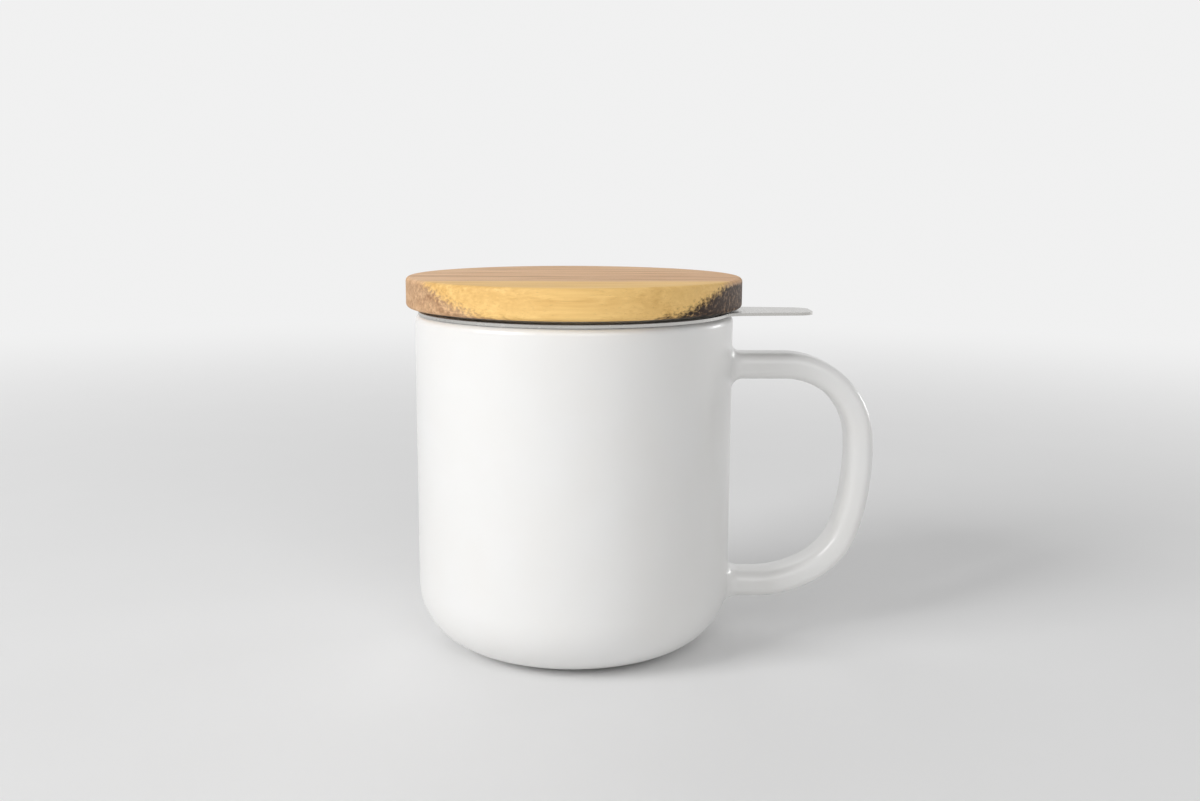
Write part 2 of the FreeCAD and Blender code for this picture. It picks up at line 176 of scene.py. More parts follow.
class Graph:
    """Adds nodes and links to one node tree by short calls."""

    def __init__(self, tree: bpy.types.NodeTree) -> None:
        """Keeps the tree that the calls work on."""
        self.tree = tree

    def add(self, kind: str, inputs: dict | None = None, **settings) -> bpy.types.Node:
        """Adds a node.

        Args:
            kind: the node's type name, without its "ShaderNode" prefix, or a full type name.
            inputs: socket name or number to a plain value or an output socket.
            settings: attributes of the node itself.

        Returns:
            The new node.
        """
        full = kind if kind.startswith("Node") else "ShaderNode" + kind
        node = self.tree.nodes.new(full)
        for name, value in settings.items():
            setattr(node, name, value)
        for socket, value in (inputs or {}).items():
            self.feed(node, socket, value)
        return node

    def feed(self, node: bpy.types.Node, socket: str | int, value) -> None:
        """Sets a socket to a plain value, or links an output socket to it."""
        if isinstance(value, bpy.types.NodeSocket):
            self.tree.links.new(value, node.inputs[socket])
        else:
            node.inputs[socket].default_value = value

    def math(self, operation: str, first, second=0.0, third=0.0) -> bpy.types.NodeSocket:
        """Adds a Math node and returns its output."""
        return self.add("Math", {0: first, 1: second, 2: third}, operation=operation).outputs[0]

    def mix(self, share, first, second) -> bpy.types.NodeSocket:
        """Adds a colour Mix node.

        Args:
            share: how much of second shows.
            first: the colour at share 0.
            second: the colour at share 1.

        Returns:
            The mixed colour.
        """
        node = self.add("Mix", data_type="RGBA")
        self.feed(node, MIX_SHARE, share)
        self.feed(node, MIX_FIRST, first)
        self.feed(node, MIX_SECOND, second)
        return node.outputs[MIX_COLOUR]

    def remap(self, value, low: float, high: float, to_low: float, to_high: float) -> bpy.types.NodeSocket:
        """Adds a smooth Map Range node and returns its output."""
        inputs = {0: value, 1: low, 2: high, 3: to_low, 4: to_high}
        return self.add("MapRange", inputs, interpolation_type="SMOOTHSTEP").outputs[0]

    def bump(self, shader: bpy.types.Node, strength: float, distance: float, height) -> None:
        """Raises a shader's surface by a height mask; the distance is in metres."""
        node = self.add("Bump", {"Strength": strength, "Distance": distance, "Height": height})
        self.feed(shader, "Normal", node.outputs[0])

    def place(self) -> bpy.types.NodeSocket:
        """The place on the object in millimetres."""
        where = self.add("TexCoord").outputs["Object"]
        scaled = self.add("VectorMath", {0: where}, operation="SCALE")
        scaled.inputs["Scale"].default_value = 1 / MM
        return scaled.outputs[0]

    def use(self, group: bpy.types.NodeTree, inputs: dict) -> bpy.types.Node:
        """Places a node group with its own values."""
        node = self.tree.nodes.new("ShaderNodeGroup")
        node.node_tree = group
        for socket, value in inputs.items():
            self.feed(node, socket, value)
        return node


def new_group(name: str, inputs: dict[str, str], outputs: dict[str, str]
              ) -> tuple[bpy.types.NodeTree, Graph, bpy.types.Node, bpy.types.Node]:
    """Starts a shader node group with named sockets.

    Args:
        name: the group's name.
        inputs: socket name to socket type, such as "NodeSocketFloat".
        outputs: the same for the outputs.

    Returns:
        The group, its Graph, its input node and its output node.
    """
    group = bpy.data.node_groups.new(name, "ShaderNodeTree")
    for direction, sockets in (("INPUT", inputs), ("OUTPUT", outputs)):
        for socket, kind in sockets.items():
            group.interface.new_socket(name=socket, in_out=direction, socket_type=kind)
    graph = Graph(group)
    return group, graph, graph.add("NodeGroupInput"), graph.add("NodeGroupOutput")


def streaks_group() -> bpy.types.NodeTree:
    """Long streaks in one direction, for wood fibres and brushed steel.

    Returns:
        A group with inputs Place, Stretch, Low and High, and output Mask.
    """
    sockets = {"Place": "NodeSocketVector", "Stretch": "NodeSocketVector",
               "Low": "NodeSocketFloat", "High": "NodeSocketFloat"}
    group, graph, start, end = new_group("streaks", sockets, {"Mask": "NodeSocketFloat"})
    drawn = graph.add("VectorMath", {0: start.outputs["Place"], 1: start.outputs["Stretch"]},
                      operation="MULTIPLY")
    noise = graph.add("TexNoise", {"Vector": drawn.outputs[0], "Scale": 1.0,
                                   "Detail": STREAK_DETAIL, "Roughness": STREAK_ROUGHNESS})
    sharpened = graph.add("MapRange", {0: noise.outputs[0], 1: start.outputs["Low"],
                                       2: start.outputs["High"]})
    graph.feed(end, "Mask", sharpened.outputs[0])
    return group


def unevenness_group() -> bpy.types.NodeTree:
    """Slight hand-made unevenness and handling marks, for every finish.

    Returns:
        A group with inputs Place, Size (mm) and Marks, and outputs Height and Mask.
    """
    sockets = {"Place": "NodeSocketVector", "Size": "NodeSocketFloat", "Marks": "NodeSocketFloat"}
    outputs = {"Height": "NodeSocketFloat", "Mask": "NodeSocketFloat"}
    group, graph, start, end = new_group("unevenness", sockets, outputs)
    scale = graph.math("DIVIDE", 1.0, start.outputs["Size"])
    broad = graph.add("TexNoise", {"Vector": start.outputs["Place"], "Scale": scale, "Detail": 1.0})
    fine_scale = graph.math("MULTIPLY", scale, MARK_FINENESS)
    fine = graph.add("TexNoise", {"Vector": start.outputs["Place"], "Scale": fine_scale, "Detail": 1.0})
    mark = graph.remap(fine.outputs[0], *MARK_NOISE)
    height = graph.math("MULTIPLY_ADD", fine.outputs[0], MARK_RELIEF, broad.outputs[0])
    graph.feed(end, "Height", height)
    graph.feed(end, "Mask", graph.math("MULTIPLY", mark, start.outputs["Marks"]))
    return group


@dataclass(frozen=True)
class Effects:
    """The node groups that the finishes share."""

    streaks: bpy.types.NodeTree
    unevenness: bpy.types.NodeTree


@dataclass(frozen=True)
class Streaks:
    """How one set of streaks is drawn: its stretch on X, Y and Z, and the noise that it keeps."""

    stretch: Place
    low: float
    high: float

    def draw(self, graph: Graph, effects: Effects, place: bpy.types.NodeSocket) -> bpy.types.NodeSocket:
        """Adds the streaks at a place and returns their mask."""
        inputs = {"Place": place, "Stretch": self.stretch, "Low": self.low, "High": self.high}
        return graph.use(effects.streaks, inputs).outputs[0]


def seen_rays(graph: Graph) -> bpy.types.NodeSocket:
    """1 on rays from the camera, from a reflection or through glass, else 0."""
    rays = graph.add("LightPath")
    seen = graph.math("ADD", rays.outputs["Is Camera Ray"], rays.outputs["Is Glossy Ray"])
    return graph.math("MINIMUM", graph.math("ADD", seen, rays.outputs["Is Transmission Ray"]), 1.0)


def new_material(name: str) -> tuple[bpy.types.Material, Graph, bpy.types.Node]:
    """Starts a material.

    Args:
        name: the material's name.

    Returns:
        The material, the graph of its nodes, and its Principled BSDF.
    """
    material = bpy.data.materials.new(name)
    material.use_nodes = True
    graph = Graph(material.node_tree)
    return material, graph, material.node_tree.nodes["Principled BSDF"]


@dataclass(frozen=True)
class GlazeFinish:
    """White satin glaze over a pale body that shows on the unglazed foot."""

    colour: Colour = (0.83, 0.83, 0.825, 1.0)
    warm: Colour = (0.81, 0.80, 0.78, 1.0)
    bisque: Colour = (0.62, 0.58, 0.52, 1.0)
    pit: Colour = (0.42, 0.40, 0.37, 1.0)
    glaze_line: float = 0.55
    glaze_fade: float = 0.15
    pit_spacing: float = 11.0
    pit_reach: Range = (0.012, 0.022, 0.7, 0.0)
    uneven_size: float = 14.0
    roughness: float = 0.30
    marked: float = 0.04
    unglazed: float = 0.5
    coat: float = 0.35
    coat_roughness: float = 0.18
    relief: float = 0.25
    relief_height: float = 0.0004

    def build(self, effects: Effects) -> bpy.types.Material:
        """Makes the material.

        Args:
            effects: the shared node groups.

        Returns:
            The glaze.
        """
        material, graph, shader = new_material("white_glaze")
        place = graph.place()
        uneven = graph.use(effects.unevenness, {"Place": place, "Size": self.uneven_size, "Marks": 1.0})
        pits = graph.add("TexVoronoi", {"Vector": place, "Scale": 1 / self.pit_spacing})
        pit = graph.remap(pits.outputs["Distance"], *self.pit_reach)
        height = graph.add("SeparateXYZ", {0: place}).outputs[2]
        bare = graph.remap(height, self.glaze_line - self.glaze_fade, self.glaze_line, 1.0, 0.0)
        tone = graph.mix(uneven.outputs["Height"], self.warm, self.colour)
        tone = graph.mix(pit, tone, self.pit)
        graph.feed(shader, "Base Color", graph.mix(bare, tone, self.bisque))
        gloss = graph.math("MULTIPLY_ADD", uneven.outputs["Mask"], self.marked, self.roughness)
        graph.feed(shader, "Roughness", graph.math("MULTIPLY_ADD", bare, self.unglazed, gloss))
        graph.feed(shader, "Coat Weight", graph.math("MULTIPLY_ADD", bare, -self.coat, self.coat))
        shader.inputs["Coat Roughness"].default_value = self.coat_roughness
        graph.bump(shader, self.relief, self.relief_height, uneven.outputs["Height"])
        return material


@dataclass(frozen=True)
class SteelFinish:
    """Stainless sheet with a fine turned grain."""

    colour: Colour = (0.56, 0.55, 0.53, 1.0)
    dull: Colour = (0.43, 0.42, 0.40, 1.0)
    grain: Streaks = Streaks((0.8, 4.0, 3.0), 0.3, 0.7)
    uneven_size: float = 9.0
    contrast: float = 0.35
    roughness: float = 0.22
    grained: float = 0.10
    marked: float = 0.08
    relief: float = 0.10
    relief_height: float = 0.00001

    def build(self, effects: Effects) -> bpy.types.Material:
        """Makes the material.

        Args:
            effects: the shared node groups.

        Returns:
            The steel.
        """
        material, graph, shader = new_material("satin_steel")
        place = graph.place()
        along, across, height = graph.add("SeparateXYZ", {0: place}).outputs
        # The grain runs round the axis: it changes fast with radius and height, and slowly in the turn.
        square = graph.math("MULTIPLY_ADD", along, along, graph.math("MULTIPLY", across, across))
        radius = graph.math("SQRT", square)
        turned = graph.math("ADD", height, graph.math("DIVIDE", across, radius))
        spun = graph.add("CombineXYZ", {0: graph.math("DIVIDE", along, radius), 1: radius, 2: turned})
        lines = self.grain.draw(graph, effects, spun.outputs[0])
        uneven = graph.use(effects.unevenness, {"Place": place, "Size": self.uneven_size, "Marks": 1.0})
        share = graph.math("MULTIPLY", lines, self.contrast)
        graph.feed(shader, "Base Color", graph.mix(share, self.colour, self.dull))
        shader.inputs["Metallic"].default_value = 1.0
        rough = graph.math("MULTIPLY_ADD", lines, self.grained, self.roughness)
        rough = graph.math("MULTIPLY_ADD", uneven.outputs["Mask"], self.marked, rough)
        graph.feed(shader, "Roughness", rough)
        graph.bump(shader, self.relief, self.relief_height, lines)
        return material


@dataclass(frozen=True)
class SiliconeFinish:
    """Milky silicone with a moulded matt skin."""

    colour: Colour = (0.70, 0.68, 0.64, 1.0)
    deep: Colour = (0.58, 0.56, 0.52, 1.0)
    uneven_size: float = 5.0
    roughness: float = 0.48
    marked: float = 0.12
    relief: float = 0.1
    relief_height: float = 0.0003

    def build(self, effects: Effects) -> bpy.types.Material:
        """Makes the material.

        Args:
            effects: the shared node groups.

        Returns:
            The silicone.
        """
        material, graph, shader = new_material("milky_silicone")
        place = graph.place()
        uneven = graph.use(effects.unevenness, {"Place": place, "Size": self.uneven_size, "Marks": 1.0})
        graph.feed(shader, "Base Color", graph.mix(uneven.outputs["Height"], self.deep, self.colour))
        rough = graph.math("MULTIPLY_ADD", uneven.outputs["Mask"], self.marked, self.roughness)
        graph.feed(shader, "Roughness", rough)
        graph.bump(shader, self.relief, self.relief_height, uneven.outputs["Height"])
        return material


@dataclass(frozen=True)
class WoodFinish:
    """Oiled acacia: brown heartwood with a cream sapwood wedge along the front, grain along X."""

    top: float
    sap_edge: float = -22.0
    sap_slope: float = 2.15
    ring_gap: float = 5.2
    sap_light: Colour = (0.93, 0.62, 0.235, 1.0)
    sap_dark: Colour = (0.60, 0.31, 0.075, 1.0)
    heart_light: Colour = (0.92, 0.60, 0.34, 1.0)
    heart_dark: Colour = (0.46, 0.24, 0.115, 1.0)
    umber: Colour = (0.13, 0.065, 0.032, 1.0)
    # Near-black painted shade for the side faces at the lid's right end.
    painted_shade_black: Colour = (0.014, 0.006, 0.003, 1.0)
    pore: Colour = (0.045, 0.022, 0.012, 1.0)
    warp: Streaks = Streaks((0.012, 0.06, 0.06), 0.25, 0.75)
    fibre: Streaks = Streaks((0.035, 1.3, 1.3), 0.32, 0.68)
    pores: Streaks = Streaks((0.12, 4.2, 4.2), 0.58, 0.72)
    years: Streaks = Streaks((0.006, 0.11, 0.05), 0.25, 0.75)
    lines: Streaks = Streaks((0.02, 2.2, 2.2), 0.50, 0.72)
    warp_swing: float = 2.4
    ragged_swing: float = 2.4
    heart_start: Range = (-1.6, 1.3, 0.0, 1.0)
    fibre_bend: float = 1.2
    years_bend: float = 16.0
    ring_contrast: Range = (0.1, 0.9, 0.35, 1.1)
    ring_share: float = 0.45
    fibre_share: float = 0.55
    line_share: float = 0.95
    honey: Range = (0.3, 0.8, 0.40, 0.90)
    # Where the painted shade falls: on the side faces under the top, beside the sapwood, weaker towards the
    # left and near black at the right.
    side: Range = (-1.6, -0.5, 1.0, 0.0)
    beside: Range = (1.5, 7.5, 0.85, 0.15)
    mottle: Range = (0.1, 0.9, 0.45, 1.15)
    left: Range = (-40.0, 0.0, 0.30, 1.0)
    right: Range = (12.0, 30.0, 0.0, 1.0)
    right_mottle: Range = (0.0, 0.8, 0.6, 1.2)
    sap_pores: float = 0.16
    heart_pores: float = 0.42
    end_grain: Range = (0.45, 1.0, 0.0, 0.22)
    specular: float = 0.28
    uneven_size: float = 8.0
    roughness: float = 0.50
    fibred: float = 0.14
    marked: float = 0.08
    pore_depth: float = 0.8
    relief: float = 0.25
    relief_height: float = 0.0003

    def depth(self, graph: Graph, across, drop, warp) -> bpy.types.NodeSocket:
        """How far a point lies behind the slanted, wavy plane where the sapwood ends.

        Args:
            graph: the graph of the material.
            across: the point's place along Y.
            drop: its height over the board's top, so less than 0 below it.
            warp: the mask that bends the plane.

        Returns:
            The depth in millimetres.
        """
        depth = graph.math("SUBTRACT", graph.math("SUBTRACT", across, self.sap_edge),
                           graph.math("MULTIPLY", drop, self.sap_slope))
        depth = graph.math("DIVIDE", depth, math.hypot(1.0, self.sap_slope))
        bend = graph.math("MULTIPLY_ADD", warp, self.warp_swing, -self.warp_swing / 2)
        return graph.math("ADD", depth, bend)

    def figure(self, graph: Graph, depth, fibre, years, lines) -> bpy.types.NodeSocket:
        """The rings, fibres and fine dark lines, as one mask.

        Args:
            graph: the graph of the material.
            depth: the depth that the rings follow.
            fibre: the fibres' mask.
            years: the mask of good and lean years.
            lines: the fine lines' mask.

        Returns:
            0 where the wood is light and 1 where it is dark.
        """
        # Good and lean years make the rings wider and narrower, and they waver along the board.
        phase = graph.math("MULTIPLY_ADD", depth, 2 * math.pi / self.ring_gap,
                           graph.math("MULTIPLY", fibre, self.fibre_bend))
        phase = graph.math("MULTIPLY_ADD", years, self.years_bend, phase)
        ring = graph.math("MULTIPLY_ADD", graph.math("SINE", phase), 0.5, 0.5)
        ring = graph.math("MULTIPLY", ring, graph.remap(years, *self.ring_contrast))
        fibres = graph.math("MULTIPLY", fibre, self.fibre_share)
        figure = graph.math("MULTIPLY_ADD", ring, self.ring_share, fibres)
        return graph.math("MAXIMUM", figure, graph.math("MULTIPLY", lines, self.line_share))

    def heartwood(self, graph: Graph, along, drop, depth, fibre, figure) -> bpy.types.NodeSocket:
        """The heartwood's colour, with painted shade on the side faces: umber beside the sapwood, partly
        the wood's own dark band and partly painted shade lighter towards the left, and near black at the
        right end.

        Args:
            graph: the graph of the material.
            along: the point's place along X.
            drop: its height over the board's top.
            depth: the depth behind the sapwood.
            fibre: the fibres' mask.
            figure: the mask of rings and fibres.

        Returns:
            The colour.
        """
        brown = graph.mix(figure, self.heart_light, self.heart_dark)
        # The umber band is partly the wood's own dark edge by the sapwood and partly painted shade: it
        # darkens only the side faces under the top, and less towards the left.
        side = graph.remap(drop, *self.side)
        beside = graph.remap(depth, *self.beside)
        mottle = graph.remap(fibre, *self.mottle)
        shade = graph.math("MULTIPLY", graph.math("MULTIPLY", side, beside), mottle)
        shade = graph.math("MULTIPLY", shade, graph.remap(along, *self.left))
        brown = graph.mix(graph.math("MINIMUM", shade, 1.0), brown, self.umber)
        # Painted shade: the side faces at the right end go near black, mottled by the fibres.
        right = graph.math("MULTIPLY", graph.remap(along, *self.right), side)
        right = graph.math("MULTIPLY", right, graph.remap(fibre, *self.right_mottle))
        return graph.mix(graph.math("MINIMUM", right, 1.0), brown, self.painted_shade_black)

    def build(self, effects: Effects) -> bpy.types.Material:
        """Makes the material.

        Args:
            effects: the shared node groups.

        Returns:
            The wood.
        """
        material, graph, shader = new_material("oiled_acacia")
        place = graph.place()
        along, across, height = graph.add("SeparateXYZ", {0: place}).outputs
        warp, fibre, pores, years, lines = (
            streaks.draw(graph, effects, place)
            for streaks in (self.warp, self.fibre, self.pores, self.years, self.lines))
        drop = graph.math("SUBTRACT", height, self.top)
        depth = self.depth(graph, across, drop, warp)
        # The colour change is ragged: fibres of one tone run into the other.
        behind = graph.math("ADD", depth, -self.ragged_swing / 2)
        ragged = graph.math("MULTIPLY_ADD", fibre, self.ragged_swing, behind)
        heart = graph.remap(ragged, *self.heart_start)
        figure = self.figure(graph, depth, fibre, years, lines)
        honey = graph.remap(warp, *self.honey)
        sap = graph.mix(graph.math("MULTIPLY", figure, honey), self.sap_light, self.sap_dark)
        brown = self.heartwood(graph, along, drop, depth, fibre, figure)
        tone = graph.mix(heart, sap, brown)
        open_pores = graph.math("MULTIPLY_ADD", heart, self.heart_pores, self.sap_pores)
        tone = graph.mix(graph.math("MULTIPLY", pores, open_pores), tone, self.pore)
        # End grain drinks more oil, so the two ends of the heartwood are darker.
        normal = graph.add("TexCoord").outputs["Normal"]
        facing = graph.math("ABSOLUTE", graph.add("SeparateXYZ", {0: normal}).outputs[0])
        end = graph.math("MULTIPLY", graph.remap(facing, *self.end_grain), heart)
        graph.feed(shader, "Base Color", graph.mix(end, tone, self.umber))
        shader.inputs["Specular IOR Level"].default_value = self.specular
        uneven = graph.use(effects.unevenness, {"Place": place, "Size": self.uneven_size, "Marks": 1.0})
        rough = graph.math("MULTIPLY_ADD", fibre, self.fibred, self.roughness)
        rough = graph.math("MULTIPLY_ADD", uneven.outputs["Mask"], self.marked, rough)
        graph.feed(shader, "Roughness", rough)
        raised = graph.math("MULTIPLY_ADD", pores, -self.pore_depth, fibre)
        graph.bump(shader, self.relief, self.relief_height, raised)
        return material


@dataclass(frozen=True)
class StudioFinish:
    """The pale paper that the mug stands on."""

    colour: Colour = (0.84, 0.84, 0.84, 1.0)
    lighter: Colour = (0.86, 0.86, 0.86, 1.0)
    noise_scale: float = 0.02
    roughness: float = 0.8
    shown: float = 1.02
    fade: Range = (170.0, 900.0, 0.0, 1.0)

    def build(self) -> bpy.types.Material:
        """Makes the material and returns it."""
        material, graph, shader = new_material("pale_paper")
        place = graph.place()
        noise = graph.add("TexNoise", {"Vector": place, "Scale": self.noise_scale})
        graph.feed(shader, "Base Color", graph.mix(noise.outputs[0], self.colour, self.lighter))
        shader.inputs["Roughness"].default_value = self.roughness
        # Far from the mug the paper shows its own white to the camera and in reflections.
        away = graph.add("VectorMath", {0: place}, operation="LENGTH").outputs["Value"]
        share = graph.math("MULTIPLY", seen_rays(graph), graph.remap(away, *self.fade))
        glow = graph.add("Emission", {"Color": self.lighter, "Strength": self.shown})
        mixed = graph.add("MixShader", {0: share, 1: shader.outputs[0], 2: glow.outputs[0]})
        output = material.node_tree.nodes["Material Output"]
        graph.feed(output, "Surface", mixed.outputs[0])
        return material


def settle(piece: bpy.types.Object, body: BodyName, slot: Slot, *nodes: str) -> None:
    """Puts a new piece on its body in place of CAD nodes, and reports it.

    Args:
        piece: the new object.
        body: the body that it rides on.
        slot: the record's slot for the piece; not used.
        nodes: the CAD nodes that it stands for.
    """
    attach(piece, body.value)
    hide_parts(*nodes)
    log.info("%s rides on %s for %s", piece.name, body.value, ", ".join(nodes))


def dress(piece: bpy.types.Object, material: bpy.types.Material) -> None:
    """Gives a piece one material all over, through its object's slots."""
    if not piece.material_slots:
        piece.data.materials.append(material)
    for slot in piece.material_slots:
        slot.link = "OBJECT"
        slot.material = material


@dataclass
class Cup:
    """The glazed cup and its luted handle."""

    height: float = 91.0
    radius: float = 42.7
    wall: float = 4.0
    lift: float = 0.7
    floor: float = 5.0
    corner: float = 17.0
    inner_corner: float = 13.0
    lip_outside: float = 1.9
    lip_inside: float = 1.6
    foot_radius: float = 26.0
    foot_width: float = 3.0
    foot_round: float = 0.3
    floor_ring: float = 12.0
    corner_steps: int = 24
    wall_steps: int = 6
    lip_steps: int = 10
    inner_steps: int = 20
    foot_steps: int = 5
    turns: int = 256

    def outside(self) -> list[Point]:
        """The outline of the outside, from the foot's outer edge up to the lip."""
        low = self.lift + self.corner
        inset = self.radius - self.corner
        start = -math.degrees(math.acos((self.foot_radius - inset) / self.corner))
        points = arc((inset, low), self.corner, start, 0.0, self.corner_steps)
        points += [(self.radius, low + (self.height - low) * step / self.wall_steps)
                   for step in range(1, self.wall_steps)]
        centre = (self.radius - self.lip_outside, self.height - self.lip_outside)
        return points + arc(centre, self.lip_outside, 0.0, 90.0, self.lip_steps)

    def inside(self) -> list[Point]:
        """The outline of the inside, from the lip down to the middle of the floor."""
        bore, floor = self.radius - self.wall, self.lift + self.floor
        lip = (bore + self.lip_inside, self.height - self.lip_inside)
        points = arc(lip, self.lip_inside, 90.0, 180.0, self.lip_steps)
        corner = (bore - self.inner_corner, floor + self.inner_corner)
        points += arc(corner, self.inner_corner, 0.0, -90.0, self.inner_steps)
        return points + [(self.floor_ring, floor), (0.0, floor)]

    def foot(self) -> list[Point]:
        """The outline of the underside, from its middle out over the foot ring."""
        bore, bend = self.foot_radius - self.foot_width, self.foot_round
        points = [(0.0, self.lift), (bore, self.lift)]
        points += arc((bore + bend, bend), bend, 180.0, 270.0, self.foot_steps)
        return points + arc((self.foot_radius - bend, bend), bend, -90.0, 0.0, self.foot_steps)

    def build(self) -> bpy.types.Object:
        """Turns the cup and returns it."""
        return lathe("glazed_cup", self.foot() + self.outside() + self.inside(), self.turns)

    def reach(self, across: float, height: float) -> float:
        """How far from the axis, along X, the cup's outside lies.

        Args:
            across: the place along Y.
            height: the place along Z.

        Returns:
            The X of the outside there.
        """
        low = self.lift + self.corner
        radius = self.radius
        if height < low:
            radius += math.sqrt(max(0.0, self.corner**2 - (low - height) ** 2)) - self.corner
        return math.sqrt(max(0.0, radius**2 - across**2))


@dataclass
class Handle:
    """The handle: an oblong section along four arcs, flared where it meets the cup."""

    cup: Cup
    width: float = 11.6
    thickness: float = 7.0
    rounding: float = 2.8
    top: float = 76.9
    low: float = 16.0
    reach: float = 78.3
    top_arc: float = 21.0
    back_arc: float = 67.0
    low_arc: float = 20.0
    foot_arc: float = 30.0
    foot_turn: float = 34.0
    low_turn: float = 72.0
    flare: float = 3.0
    sink: float = 0.8
    blend: float = 9.0
    flare_fill: float = 0.9
    flare_steps: int = 10
    bar_steps: int = 6
    bend_steps: int = 8
    arc_steps: tuple[int, int, int, int] = (22, 24, 16, 14)

    def path(self) -> list[tuple[float, float, float]]:
        """The middle line from the upper end to the lower, as (x, z, heading in degrees)."""
        low_turn, foot_turn = math.radians(self.low_turn), math.radians(self.foot_turn)
        waist_x = self.reach - self.back_arc * (1 - math.sin(low_turn))
        bend_x = waist_x - self.low_arc * (math.sin(low_turn) - math.sin(foot_turn))
        bar_x = bend_x - self.foot_arc * math.sin(foot_turn)
        bend_z = self.low + self.foot_arc * (1 - math.cos(foot_turn))
        waist_z = bend_z + self.low_arc * (math.cos(foot_turn) - math.cos(low_turn))
        back_z = waist_z + self.back_arc * math.cos(low_turn)
        lean = math.asin((self.top - back_z - self.top_arc) / (self.back_arc - self.top_arc))
        shoulder_x = self.reach - self.back_arc * (1 - math.cos(lean))
        crown_x = shoulder_x - self.top_arc * math.cos(lean)
        low_middle = (waist_x - self.low_arc * math.sin(low_turn),
                      waist_z + self.low_arc * math.cos(low_turn))
        stretches = (
            ((crown_x, self.top - self.top_arc), self.top_arc, 90.0, math.degrees(lean)),
            ((self.reach - self.back_arc, back_z), self.back_arc, math.degrees(lean), self.low_turn - 90.0),
            (low_middle, self.low_arc, self.low_turn - 90.0, self.foot_turn - 90.0),
            ((bar_x, self.low + self.foot_arc), self.foot_arc, self.foot_turn - 90.0, -90.0),
        )
        line = []
        for (centre, radius, start, end), steps in zip(stretches, self.arc_steps):
            points = arc(centre, radius, start, end, steps)
            for step, (x, z) in enumerate(points):
                if line and step == 0:
                    continue
                line.append((x, z, start + (end - start) * step / steps))
        return line

    def section(self, growth: float) -> list[Point]:
        """The section's outline, grown all round, as (across, outward) points."""
        across, out = self.width / 2 + growth, self.thickness / 2 + growth
        bend = self.rounding + growth
        points = []
        for side_x, side_y, start in ((1, 1, 0), (-1, 1, 90), (-1, -1, 180), (1, -1, 270)):
            centre = (side_x * (across - bend), side_y * (out - bend))
            points += arc(centre, bend, start, start + 90, self.bend_steps)
        return points

    def root_rings(self, level: float, crown_x: float, facing: float) -> list[list[Vector]]:
        """Rings of one straight bar, from the cup's wall out to where the arcs start.

        Args:
            level: the height of the bar's middle.
            crown_x: where the first arc starts.
            facing: 1 if the section's outward side points up there, -1 if down.

        Returns:
            Rings of points, the one at the wall first.
        """
        wall = self.cup.radius
        bar = crown_x - wall - self.flare
        turns = [math.radians(90.0 * step / self.flare_steps) for step in range(self.flare_steps + 1)]
        steps = [-self.sink] + [self.flare * (1 - math.cos(turn)) for turn in turns]
        steps += [self.flare + bar * step / self.bar_steps for step in range(1, self.bar_steps)]
        rings = []
        for step in steps:
            inside = min(1.0, max(0.0, step) / self.flare)
            growth = self.flare * (1 - math.sqrt(1 - (1 - inside) ** 2)) * self.flare_fill
            follow = max(0.0, 1 - max(0.0, step) / self.blend)
            ring = []
            for across, out in self.section(growth):
                height = level + out * facing
                skin = self.cup.reach(across, height) - wall
                ring.append(Vector((wall + step + skin * follow, across, height)))
            rings.append(ring)
        return rings

    def build(self) -> bpy.types.Object:
        """Sweeps the handle and returns it."""
        line = self.path()
        rings = self.root_rings(self.top, line[0][0], 1.0)
        for x, z, heading in line:
            turn = math.radians(heading)
            outward = Vector((math.cos(turn), 0.0, math.sin(turn)))
            middle = Vector((x, 0.0, z))
            rings.append([middle + Vector((0.0, across, 0.0)) + outward * out
                          for across, out in self.section(0.0)])
        rings += reversed(self.root_rings(self.low, line[-1][0], -1.0))
        shape = bmesh.new()
        loops = [[shape.verts.new(point) for point in ring] for ring in rings]
        count = len(loops[0])
        for near, far in zip(loops, loops[1:]):
            for number in range(count):
                after = (number + 1) % count
                shape.faces.new((near[number], near[after], far[after], far[number]))
        shape.faces.new(loops[0])
        shape.faces.new(reversed(loops[-1]))
        return add_object("glazed_handle", finish_mesh("glazed_handle", shape))


